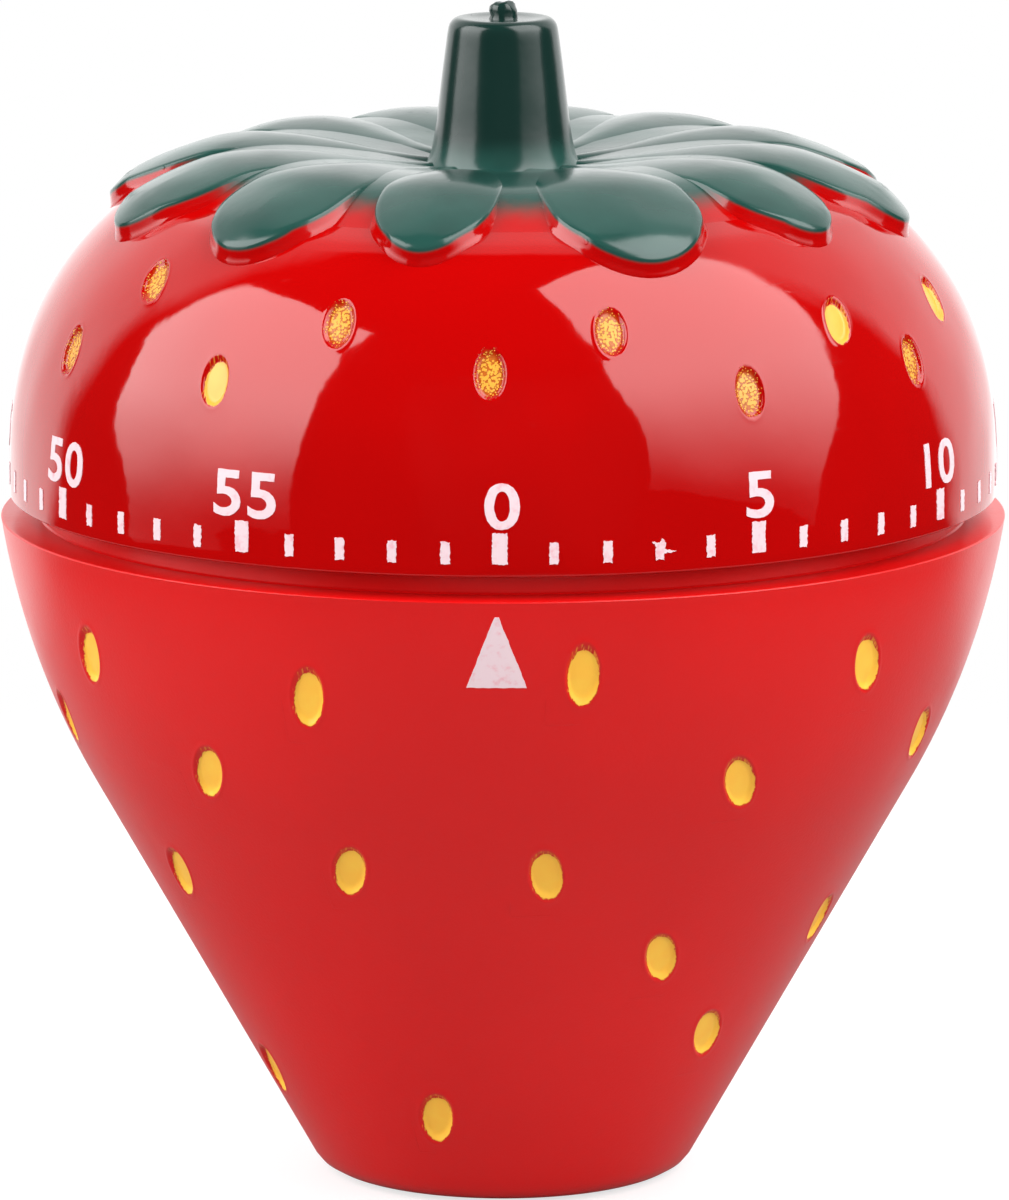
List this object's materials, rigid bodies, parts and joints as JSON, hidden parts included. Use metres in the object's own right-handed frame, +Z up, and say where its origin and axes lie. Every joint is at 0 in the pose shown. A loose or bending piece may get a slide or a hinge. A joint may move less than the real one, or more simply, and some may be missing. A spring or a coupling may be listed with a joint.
{
  "type": "kitchen timer",
  "caption": "Wind-up kitchen timer shaped like a strawberry: the upper half turns as a minute dial on a conical cup that holds a clockwork movement and bell.",
  "frame": {"origin": "centre of the flat foot, on the surface that the timer stands on", "axes": "+Z up along the axis of the fruit and of the dial; the pointer on the cup faces -Y"},
  "size_m": [0.062, 0.062, 0.0728],
  "materials": {
    "red_gloss": "glossy red moulding with green sprayed leaves and stem, yellow painted seeds and a pale printed scale",
    "red_satin": "satin red moulding with yellow painted seeds and a pale printed pointer",
    "brass": "plain stamped and turned",
    "steel": "zinc plated or bright",
    "spring_steel": "blued",
    "bell_metal": "plated"
  },
  "bodies": {
    "case": {"base_cup": "red_satin", "lower_plate": "brass", "upper_plate": "brass", "pillar_1": "steel", "pillar_2": "steel", "pillar_3": "steel", "upper_pillar_screw_1": "steel", "upper_pillar_screw_2": "steel", "upper_pillar_screw_3": "steel", "lower_pillar_screw_1": "steel", "lower_pillar_screw_2": "steel", "lower_pillar_screw_3": "steel", "mounting_screw_1": "steel", "mounting_screw_2": "steel", "mounting_screw_3": "steel", "spring_post": "steel", "mainspring": "spring_steel", "bell": "bell_metal", "bell_post": "steel", "bell_screw": "steel", "lever_post": "brass", "lever_spring": "spring_steel", "hammer_spring": "spring_steel", "stop_pin": "steel"},
    "dial": {"dial_cap": "red_gloss", "main_arbor": "steel", "ratchet_wheel": "steel", "main_wheel": "brass", "click_rivet": "brass", "click_spring": "spring_steel", "alarm_cam": "brass"},
    "click_body": {"click": "steel"},
    "second_body": {"second_arbor": "steel", "second_wheel": "brass"},
    "third_body": {"third_arbor": "steel", "third_wheel": "brass"},
    "escape_body": {"escape_arbor": "steel", "escape_wheel": "brass"},
    "balance_body": {"balance_staff": "steel", "balance_wheel": "brass", "pallet_anchor": "steel"},
    "ring_body": {"ring_arbor": "steel", "ring_wheel": "steel"},
    "hammer_body": {"hammer_staff": "steel", "hammer_arm": "steel", "hammer_head": "brass", "hammer_lift": "steel", "hammer_stop": "steel"},
    "lever_body": {"alarm_lever": "steel"}
  },
  "joints": [
    {"name": "dial_turn", "type": "hinge", "parent": "case", "child": "dial", "pos_m": [0, 0, 0.0425], "axis": [0, 0, 1], "range_deg": [-354, 0], "deforming": ["mainspring"]},
    {"name": "click_lift", "type": "hinge", "parent": "dial", "child": "click_body", "pos_m": [-0.00527, 0.00628, 0.0338], "axis": [0, 0, 1], "range_deg": [-15, 0], "deforming": ["click_spring"]},
    {"name": "second_spin", "type": "hinge", "parent": "case", "child": "second_body", "pos_m": [0.01353, 0.00493, 0.0365], "axis": [0, 0, 1], "continuous": true},
    {"name": "third_spin", "type": "hinge", "parent": "case", "child": "third_body", "pos_m": [0.00784, 0.01184, 0.0382], "axis": [0, 0, 1], "continuous": true},
    {"name": "escape_spin", "type": "hinge", "parent": "case", "child": "escape_body", "pos_m": [-0.00081, 0.01418, 0.04], "axis": [0, 0, 1], "continuous": true},
    {"name": "ring_spin", "type": "hinge", "parent": "case", "child": "ring_body", "pos_m": [-0.01353, -0.00493, 0.038], "axis": [0, 0, 1], "continuous": true},
    {"name": "balance_swing", "type": "hinge", "parent": "case", "child": "balance_body", "pos_m": [-0.00728, 0.01369, 0.037], "axis": [0, 0, 1], "range_deg": [-12, 12]},
    {"name": "hammer_swing", "type": "hinge", "parent": "case", "child": "hammer_body", "pos_m": [-0.01111, -0.01151, 0.03], "axis": [0, 0, 1], "range_deg": [-15, 2], "deforming": ["hammer_spring"]},
    {"name": "lever_drop", "type": "hinge", "parent": "case", "child": "lever_body", "pos_m": [0.007, -0.013, 0.0448], "axis": [0, 0, 1], "range_deg": [-10, 0], "deforming": ["lever_spring"]}
  ],
  "couplings": [
    {"joint": "second_spin", "follows": "dial_turn", "ratio": -8},
    {"joint": "third_spin", "follows": "dial_turn", "ratio": 56},
    {"joint": "escape_spin", "follows": "dial_turn", "ratio": -392},
    {"joint": "ring_spin", "follows": "dial_turn", "ratio": -8}
  ]
}
